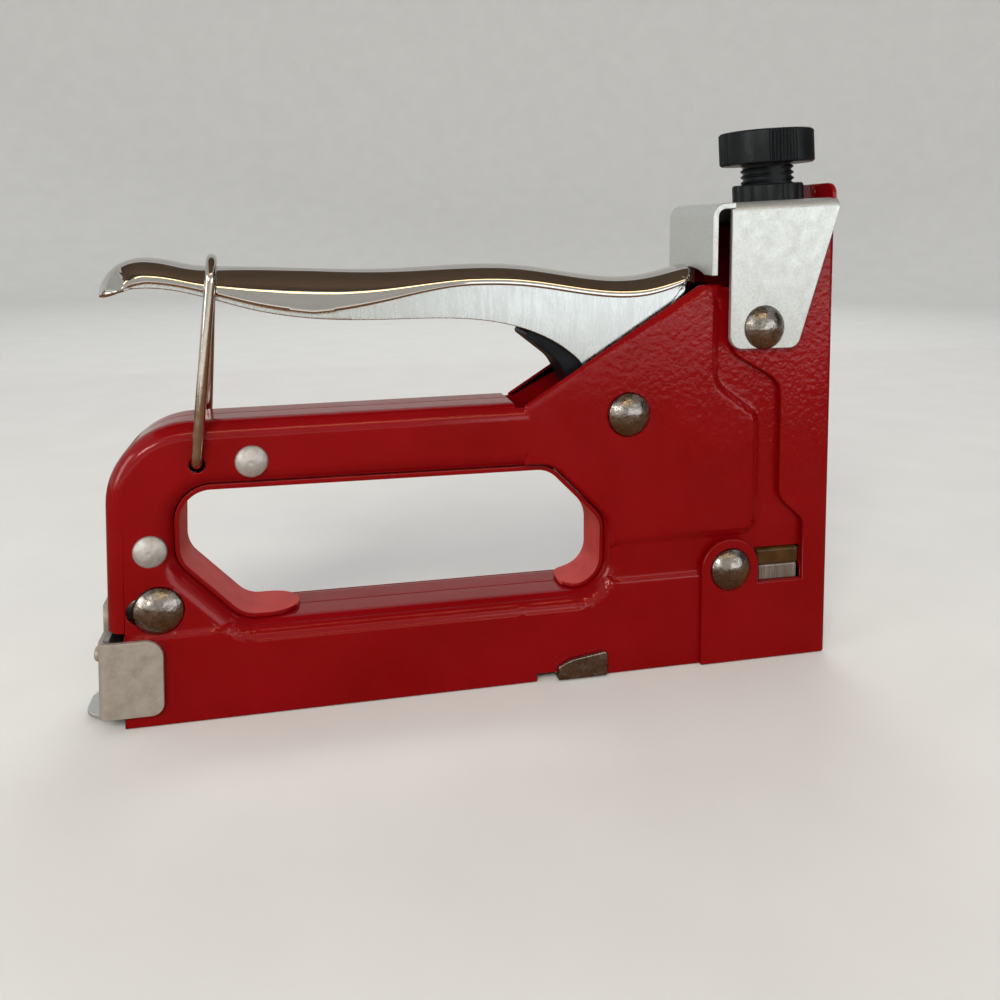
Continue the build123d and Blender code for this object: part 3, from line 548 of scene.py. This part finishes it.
spring_steel = make_spring_steel()
dark_steel = make_dark_steel()
carry(spring_steel, "driver_blade")
carry(dark_steel, "spring_seat", "plunger")
low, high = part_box("main_spring")
middle = (low + high) / 2
parting = low.z + lower_coils * (high.z - low.z)
for name, pusher, end, way in (
        ("main_spring_lower", "striker", low.z, 1),
        ("main_spring_upper", "seat", high.z, -1)):
    coils = merged_copy("main_spring")
    cut_away(coils, (0, 0, parting - way * coil_parting), (0, 0, way))
    spring = as_piece(name, coils, spring_steel)
    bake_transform(spring)
    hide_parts("main_spring")


# Buffer and its support.
# An amber rubber block stops the plunger and lies on a sheared steel plate; a window shows them both.
# The plate's cut edge has fine upright marks from the shear.
buffer_edge = 0.0007
support_edge = 0.0004


def make_amber_rubber():
    finish, tree, shader = start_finish("amber rubber", (0.05, 0.022, 0.006), 0.0, 0.3)
    shader.inputs["Specular IOR Level"].default_value = 0.4
    tint(tree, shader, clouds(tree, places(tree), 300, 3), (0.03, 0.013, 0.003), (0.075, 0.033, 0.007))
    return finish


def make_sheared_steel():
    finish, tree, shader = start_finish("sheared steel", (0.3, 0.27, 0.24), 0.8, 0.4)
    marks = clouds(tree, places(tree, (1, 1, 0.05)), 2200, 3)
    tint(tree, shader, marks, (0.2, 0.17, 0.14), (0.45, 0.42, 0.38))
    tree.links.new(relief(tree, marks, 0.00005), shader.inputs["Normal"])
    return finish


show_edged(
    "buffer", "moulded", make_amber_rubber(), "body", "amber_rubber", corner_turn, buffer_edge, rounds=4)
show_edged(
    "buffer_support", "sheared", make_sheared_steel(), "body", "zinc_plate", corner_turn, support_edge,
    rounds=3)


# Lifter arm, its bush and the return spring.
# The arm is riveted inside the lever and lifts the plunger; it is blackened plate.
# It turns on the lever's rivet with a bush, and a wound spring raises the lever again.
arm_edge = 0.0003
show_edged("lifter_arm", "blackened", dark_steel, "lever", "dark_steel", strip_turn, arm_edge, rounds=2)
carry(dark_steel, "pivot_bush")
carry(spring_steel, "lever_return_spring")


# Lever.
# Pressed from steel strip to a rolled top and flat flanks, then chromed; the roll is polished to a mirror.
# The flanks keep an upright grain from the polishing belt, and a crease parts them from the roll.
lever_sheet = 0.0013
lever_half = 0.0076
bulb_radius = 0.009
lever_edge = 0.0002
flank_inset = 0.0002
crease_width = 0.0004
least_lip = 0.0012
roll_deep = 0.0105
roll_shallow = 0.005
roll_start = -0.047
roll_run = 0.044
tip_foot = 0.007
foot_lead = 0.003
grip_start = 0.026
grip_end = 0.9999
joint_back = 0.0263
hem_back = 0.0026
hem_drop = 0.007
hem_start = 0.01
hem_run = 0.036
line_rounds = 8
roll_rows = 22
crease_rows = 4
flank_rows = 3
tip_sections = 18
grip_sections = 200


def make_chrome():
    finish, tree, shader = start_finish("chrome", (0.66, 0.63, 0.59), 1.0, 0.06)
    where = places(tree)
    own = tree.nodes.new("ShaderNodeAttribute")
    own.attribute_name = "flank"
    flank = own.outputs["Fac"]
    # The flanks are painted paler and bluer than the roll, as a painted reflection; their grain and roughness
    # are real.
    tint(tree, shader, flank, (0.66, 0.63, 0.59), (0.74, 0.79, 0.8), 0.0, 1.0)
    brushed = clouds(tree, places(tree, (1, 1, 0.1)), 1300, 4, 0.65)
    dull = product(tree, spread(tree, brushed, 0.3, 0.7, 0.16, 0.3), flank)
    tree.links.new(spread(tree, dull, 0, 1, 0.05, 1.05), shader.inputs["Roughness"])
    dents = relief(tree, clouds(tree, where, 90, 1), 0.00006)
    brush = relief(tree, product(tree, brushed, flank), 0.000016, over=dents)
    cells = tree.nodes.new("ShaderNodeTexVoronoi")
    cells.inputs["Scale"].default_value = 330
    tree.links.new(where, cells.inputs["Vector"])
    dishes = product(tree, cells.outputs["Distance"], cells.outputs["Distance"])
    at_tip = spread(tree, along_axes(tree, where, (1, 0, 0)), -0.082, -0.077, 1, 0)
    low_down = spread(tree, along_axes(tree, where, (0, 0, 1)), 0.0985, 0.101, 1, 0)
    hammered = relief(tree, product(tree, dishes, product(tree, at_tip, low_down)), 0.0007, over=brush)
    tree.links.new(hammered, shader.inputs["Normal"])
    return finish


def soft_step(amount):
    """Goes from 0 to 1 with a soft start and end."""
    amount = min(max(amount, 0), 1)
    return amount * amount * (3 - 2 * amount)


def roll_depth(x):
    """How far the roll comes down from the top line: deep along the grip, shallow towards the body."""
    return roll_deep - (roll_deep - roll_shallow) * soft_step((x - roll_start) / roll_run)


def join_in(metal, other):
    """Adds another mesh to this one."""
    made = bpy.data.meshes.new("joined")
    other.to_mesh(made)
    other.free()
    metal.from_mesh(made)
    bpy.data.meshes.remove(made)


solid_lever = merged_copy("lever")
lever_tree = BVHTree.FromBMesh(solid_lever)
low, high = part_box("lever")
wall_middle = lever_half - lever_sheet / 2


def top_at(x):
    """The lever's top line above this place."""
    return Vector((x, lever_tree.ray_cast(Vector((x, 0, 1)), Vector((0, 0, -1)))[0].z))


def foot_at(x):
    """The lower edge of the lever's wall at this place."""
    return Vector((x, lever_tree.ray_cast(Vector((x, wall_middle, 0)), Vector((0, 0, 1)))[0].z))


bulb_x = low.x + bulb_radius
bulb_z = top_at(bulb_x).y - bulb_radius
joint_x = high.x - joint_back
joint = foot_at(joint_x)
hem = Vector((high.x - hem_back, high.z - hem_drop))
sections = []
for count in range(tip_sections):
    share = count / tip_sections
    turn = share * pi / 2
    top = Vector((bulb_x - bulb_radius * cos(turn), bulb_z + bulb_radius * sin(turn)))
    sections.append((top, foot_at(low.x + tip_foot + (bulb_radius + foot_lead - tip_foot) * share)))
for count in range(grip_sections + 1):
    x = bulb_x + (high.x - bulb_x) * min(count / grip_sections, grip_end)
    lead = foot_lead * (1 - soft_step((x - bulb_x) / grip_start))
    foot_x = x + lead - hem_back * soft_step((x - joint_x + hem_start) / hem_run)
    along = (foot_x - joint.x) / (hem.x - joint.x)
    foot = joint.lerp(hem, min(along, 1)) if along > 0 else foot_at(foot_x)
    sections.append((top_at(x), foot))
for _ in range(line_rounds):
    for line in zip(*sections):
        heights = [place.y for place in line]
        for before, place, after in zip(heights, line[1:-1], heights[2:]):
            place.y = (before + 2 * place.y + after) / 4

half_rows = roll_rows + crease_rows + flank_rows
last_section = len(sections) - 1
sheet = bmesh.new()
flank_layer = sheet.verts.layers.float.new("flank")
bmesh.ops.create_grid(sheet, x_segments=last_section, y_segments=2 * half_rows, size=0.5)
for vert in sheet.verts:
    row = round((vert.co.y + 0.5) * 2 * half_rows) - half_rows
    top, foot = sections[round((vert.co.x + 0.5) * last_section)]
    reach = (foot - top).length
    crease = min(roll_depth(top.x), reach - least_lip)
    roll = crease - crease_width
    step = abs(row)
    if step <= roll_rows:
        turn = step / roll_rows * pi / 2
        down, out = roll * (1 - cos(turn)), lever_half * sin(turn)
    elif step <= roll_rows + crease_rows:
        share = (step - roll_rows) / crease_rows
        down, out = roll + crease_width * share, lever_half - flank_inset * soft_step(share)
    else:
        share = (step - roll_rows - crease_rows) / flank_rows
        down, out = crease + (reach - crease) * share, lever_half - flank_inset
    place = top.lerp(foot, down / reach)
    vert.co = (place.x, out if row > 0 else -out, place.y)
    vert[flank_layer] = soft_step((step - roll_rows) / crease_rows)
bmesh.ops.recalc_face_normals(sheet, faces=sheet.faces)
if sum(face.normal.z * face.calc_area() for face in sheet.faces) < 0:
    bmesh.ops.reverse_faces(sheet, faces=sheet.faces)
bmesh.ops.solidify(sheet, geom=sheet.faces[:], thickness=lever_sheet)
break_edges(sheet, corner_turn, lever_edge, rounds=4)

cut_away(solid_lever, (joint.x, 0, joint.y), Vector((joint.y - hem.y, 0, hem.x - joint.x)).normalized())
arm_flank = solid_lever.verts.layers.float.new("flank")
for vert in solid_lever.verts:
    vert[arm_flank] = 1
    vert.co.y -= flank_inset if vert.co.y > 0 else -flank_inset
join_in(sheet, solid_lever)
stands_for(as_piece("lever_chromed", sheet, make_chrome()), "lever", "chrome", "lever")


# Bail.
# One length of wire bent to a loop, nickelled, with its ends sprung into holes in the shells.
# It hooks over the lever's saddle and holds the lever down.
bail_skew = 0.095


def make_nickel():
    finish, tree, shader = start_finish("nickel", (0.6, 0.56, 0.5), 1.0, 0.12)
    where = places(tree)
    dull_patches(tree, shader, where, 600, 0.07, 0.16)
    rough_grain(tree, shader, where, 1100, 0.00001)
    return finish


wire = merged_copy("wire_bail")
low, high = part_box("wire_bail")
for vert in wire.verts:
    vert.co.x -= bail_skew * vert.co.y * (vert.co.z - low.z) / (high.z - low.z)
stands_for(as_piece("wire_bail_nickelled", wire, make_nickel()), "bail", "nickelled_steel", "wire_bail")


# Rivets.
# Domed steel rivets, nickelled, hold the shells, the nose plate and the bracket together.
# Two small ones of bare aluminium close the back of the handle, with the punch's mark in their middles.
dome_spread = 1.07
dome_height = 0.0024
dome_shank = 0.0026
small_height = 0.0015
small_shank = 0.0018
small_radius = 0.00365
punch_mark = 0.00022
arc_steps = 10
round_steps = 64


def make_dark_nickel():
    finish, tree, shader = start_finish("dark nickel", (0.36, 0.33, 0.3), 1.0, 0.2)
    where = places(tree)
    tint(tree, shader, clouds(tree, where, 500, 4), (0.29, 0.26, 0.23), (0.42, 0.39, 0.36))
    dull_patches(tree, shader, where, 800, 0.2, 0.36)
    rough_grain(tree, shader, where, 420, 0.0003)
    return finish


def make_bare_aluminium():
    finish, tree, shader = start_finish("bare aluminium", (0.6, 0.59, 0.57), 0.7, 0.5)
    where = places(tree)
    tint(tree, shader, clouds(tree, where, 700, 4), (0.5, 0.49, 0.47), (0.68, 0.67, 0.65))
    dull_patches(tree, shader, where, 900, 0.42, 0.6)
    rough_grain(tree, shader, where, 800, 0.00007)
    return finish


def turn_rivet(metal, place, reach, radius, height, shank, mark=0):
    """A rivet across the body at this place: a dome at each end and a round shank between them."""
    ball = (radius**2 + height**2) / (2 * height)
    fresh = bmesh.new()
    pole = fresh.verts.new((0, 0, reach))
    arc = bmesh.ops.spin(
        fresh, geom=[pole], axis=(0, 1, 0), cent=(0, 0, reach - ball), angle=asin(radius / ball),
        steps=arc_steps)
    rim = [item for item in arc["geom_last"] if isinstance(item, bmesh.types.BMVert)]
    for x, z in ((shank, reach - height), (shank, 0)):
        rim = bmesh.ops.extrude_vert_indiv(fresh, verts=rim)["verts"]
        rim[0].co = (x, 0, z)
    pole.co.z -= mark
    bmesh.ops.spin(
        fresh, geom=fresh.verts[:] + fresh.edges[:], axis=(0, 0, 1), cent=(0, 0, 0), angle=2 * pi,
        steps=round_steps, use_merge=True)
    bmesh.ops.remove_doubles(fresh, verts=fresh.verts, dist=touching)
    bmesh.ops.mirror(
        fresh, geom=fresh.verts[:] + fresh.edges[:] + fresh.faces[:], axis="Z", merge_dist=touching)
    bmesh.ops.recalc_face_normals(fresh, faces=fresh.faces)
    across = Matrix.Rotation(radians(90), 3, "X")
    bmesh.ops.rotate(fresh, verts=fresh.verts, cent=(0, 0, 0), matrix=across)
    bmesh.ops.translate(fresh, verts=fresh.verts, vec=(place[0], 0, place[1]))
    join_in(metal, fresh)


dark_nickel = make_dark_nickel()
for node in ("lever_pivot_rivet", "bracket_rivet", "nose_rivet", "rear_rivet"):
    low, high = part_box(node)
    middle = (low + high) / 2
    radius = dome_spread * (high.x - low.x) / 2
    rivet = bmesh.new()
    turn_rivet(rivet, (middle.x, middle.z), high.y, radius, dome_height, dome_shank)
    stands_for(as_piece(node + "_nickelled", rivet, dark_nickel), "body", "nickelled_steel", node)

low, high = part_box("handle_rivets")
pair = bmesh.new()
for place in ((low.x + small_radius, low.z + small_radius), (high.x - small_radius, high.z - small_radius)):
    turn_rivet(pair, place, high.y, small_radius, small_height, small_shank, punch_mark)
small_rivets = as_piece("handle_rivets_turned", pair, make_bare_aluminium())
stands_for(small_rivets, "body", "bare_aluminium", "handle_rivets")


# Magazine.
# The channel is folded from plated strip and its ears are turned up outside the shells.
# The rail, its rod, the follower and the follower's spring pull out of it towards the back.
channel_edge = 0.0004
show_edged(
    "magazine_channel", "plated", dark_nickel, "body", "zinc_plate", strip_turn, channel_edge, rounds=3)
carry(zinc_plate, "staple_rail", "follower", "latch_pin")
carry(spring_steel, "guide_rod")
low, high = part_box("follower_spring")
coils = as_piece("follower_spring_wound", merged_copy("follower_spring"), spring_steel)
stands_for(coils, "magazine", "spring_steel", "follower_spring")
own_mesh(coils)


# Rear cap and latch.
# The cap is bent from plated sheet and riveted to the rail; it is duller and warmer than the bracket.
# The latch tongue turns on a pin below it, and its edge is toothed for the thumb.
cap_edge = 0.0002
tongue_edge = 0.0001


def make_worn_zinc():
    finish, tree, shader = start_finish("worn zinc", (0.42, 0.39, 0.34), 0.45, 0.38)
    where = places(tree)
    tint(tree, shader, clouds(tree, where, 380, 5, 0.65), (0.36, 0.32, 0.27), (0.48, 0.45, 0.4))
    dull_patches(tree, shader, where, 800, 0.3, 0.5)
    rough_grain(tree, shader, where, 2400, 0.00002, detail=4)
    return finish


worn_zinc = make_worn_zinc()
show_edged("rear_cap", "plated", worn_zinc, "magazine", "zinc_plate", strip_turn, cap_edge, rounds=2)
show_edged("latch_tongue", "plated", zinc_plate, "latch", "zinc_plate", strip_turn, tongue_edge, rounds=2)
carry(worn_zinc, "cap_rivets")


# Floor and backdrop.
# A pale paper sweep that runs flat under the object and curves up into a wall all round it.
# It is turned from one line about the middle, and the small hole there is closed.
floor_reach = 1.3
floor_middle = 0.02
floor_drop = 0.0002
sweep_radius = 0.5
sweep_steps = 16
wall_height = 1.3
paper_steps = 96


def make_pale_paper():
    finish, tree, shader = start_finish("pale paper", (0.76, 0.76, 0.745), 0.0, 0.8)
    tint(tree, shader, clouds(tree, places(tree), 30, 3), (0.745, 0.745, 0.73), (0.775, 0.775, 0.76))
    return finish


paper = bmesh.new()
ends = [paper.verts.new((reach, 0, -floor_drop)) for reach in (floor_middle, floor_reach)]
paper.edges.new(ends)
turned = bmesh.ops.spin(
    paper, geom=ends[1:], axis=(0, -1, 0), cent=(floor_reach, 0, sweep_radius - floor_drop),
    angle=radians(90), steps=sweep_steps)
top = [item for item in turned["geom_last"] if isinstance(item, bmesh.types.BMVert)]
raised = bmesh.ops.extrude_vert_indiv(paper, verts=top)
bmesh.ops.translate(paper, verts=raised["verts"], vec=(0, 0, wall_height))
bmesh.ops.spin(
    paper, geom=paper.verts[:] + paper.edges[:], axis=(0, 0, 1), cent=(0, 0, 0), angle=2 * pi,
    steps=paper_steps, use_merge=True)
hole = [
    edge for edge in paper.edges
    if edge.is_boundary and all(vert.co.xy.length < 2 * floor_middle for vert in edge.verts)]
bmesh.ops.holes_fill(paper, edges=hole, sides=0)
bmesh.ops.recalc_face_normals(paper, faces=paper.faces)
if sum(face.normal.z for face in paper.faces) < 0:
    bmesh.ops.reverse_faces(paper, faces=paper.faces)
as_piece("backdrop", paper, make_pale_paper())


# Light.
# A soft key lamp stands at the upper left in front, a wide low one at the right, and one at the side.
# A warm strip draws a line along the lever, a small lamp makes the rivets glint, and one stands behind.
def soft_lamp(name, place, aim, width, height, watts, colour, mirrored=True):
    """A flat lamp that the camera does not see, shown in reflections only if it is mirrored."""
    lamp = bpy.data.lights.new(name, "AREA")
    lamp.shape = "RECTANGLE"
    lamp.size = width
    lamp.size_y = height
    lamp.energy = watts
    lamp.color = colour
    holder = bpy.data.objects.new(name, lamp)
    holder.location = place
    holder.rotation_euler = (Vector(aim) - Vector(place)).to_track_quat("-Z", "Y").to_euler()
    holder.visible_camera = False
    holder.visible_glossy = mirrored
    bpy.context.scene.collection.objects.link(holder)


soft_lamp("key lamp", (-0.45, -0.95, 0.8), (0, 0, 0.06), 0.55, 0.35, 8.0, (1, 0.95, 0.88), mirrored=False)
soft_lamp("window lamp", (0.7, -1.05, 0.22), (0.05, 0, 0.09), 1.1, 0.4, 2.1, (0.92, 0.97, 1))
soft_lamp("side lamp", (-1.1, -0.4, 0.3), (-0.05, 0, 0.06), 0.35, 0.5, 2.2, (1, 0.98, 0.95))
soft_lamp("strip lamp", (0.08, -0.98, 0.84), (0, 0, 0.1), 1.0, 0.08, 1.3, (1, 0.66, 0.3))
soft_lamp("glint lamp", (-0.7, -0.95, 0.42), (-0.03, 0, 0.06), 0.3, 0.12, 1.6, (1, 0.97, 0.92))
soft_lamp("back lamp", (0.3, 0.9, 0.9), (0, 0, 0.06), 0.8, 0.4, 4.0, (1, 1, 1), mirrored=False)

room = bpy.data.worlds.new("room")
room.use_nodes = True
room.node_tree.nodes["Background"].inputs["Color"].default_value = (0.93, 0.96, 1.0, 1)
room.node_tree.nodes["Background"].inputs["Strength"].default_value = 0.55
bpy.context.scene.world = room


# Reflected boards.
# Only reflections see them: a brown one on the floor, a dark one overhead and a dark one at the right.
# They give the chrome its bands and keep the enamel deep.
board_level = -floor_drop / 2
ceiling = 1.1
right_end = 1.2


def reflected_board(name, low, high, colour):
    """A flat board between two corners that shows in reflections and nowhere else."""
    board = bmesh.new()
    bmesh.ops.create_grid(board, x_segments=1, y_segments=1, size=0.5)
    low, high = Vector(low), Vector(high)
    for vert in board.verts:
        vert.co = low + (high - low) * Vector((vert.co.x, vert.co.y, vert.co.x)) + (high - low) / 2
    piece = as_piece(name, board, start_finish(name, colour, 0.0, 0.9)[0])
    piece.visible_camera = False
    piece.visible_diffuse = False
    piece.visible_transmission = False
    piece.visible_shadow = False


reflected_board("floor board", (-0.8, -0.45, board_level), (0.8, 0.5, board_level), (0.17, 0.078, 0.03))
reflected_board("overhead board", (-0.9, -1.15, ceiling), (0.9, 0.75, ceiling), (0.09, 0.06, 0.04))
reflected_board("right board", (right_end, -0.75, 0.02), (right_end, 0.9, 0.9), (0.05, 0.04, 0.035))


# Camera.
# It looks at the right-hand side from a little above and behind, with the lens shifted down.
# Its place, turn and focal length were fitted to the photograph's outline of the object.
eye = Vector((-0.04295, -0.2106, 0.1104))
turn = radians(12.91)
down = radians(3.36)
roll = radians(0.19)
focal_pixels = 871
image_pixels = 1000
lens_shift = -0.218
nearest_seen = 0.01
film = 36
forward = Vector((sin(turn) * cos(down), cos(turn) * cos(down), -sin(down)))
level = Vector((cos(turn), -sin(turn), 0))
upright = level.cross(forward)
right = cos(roll) * level + sin(roll) * upright
top_side = cos(roll) * upright - sin(roll) * level
lens = bpy.data.cameras.new("camera")
lens.sensor_width = film
lens.lens = film * focal_pixels / image_pixels
lens.shift_y = lens_shift
lens.clip_start = nearest_seen
camera = bpy.data.objects.new("camera", lens)
camera.matrix_world = Matrix.Translation(eye) @ Matrix((right, top_side, -forward)).transposed().to_4x4()
bpy.context.scene.collection.objects.link(camera)
bpy.context.scene.camera = camera
bpy.context.scene.view_settings.view_transform = "Standard"
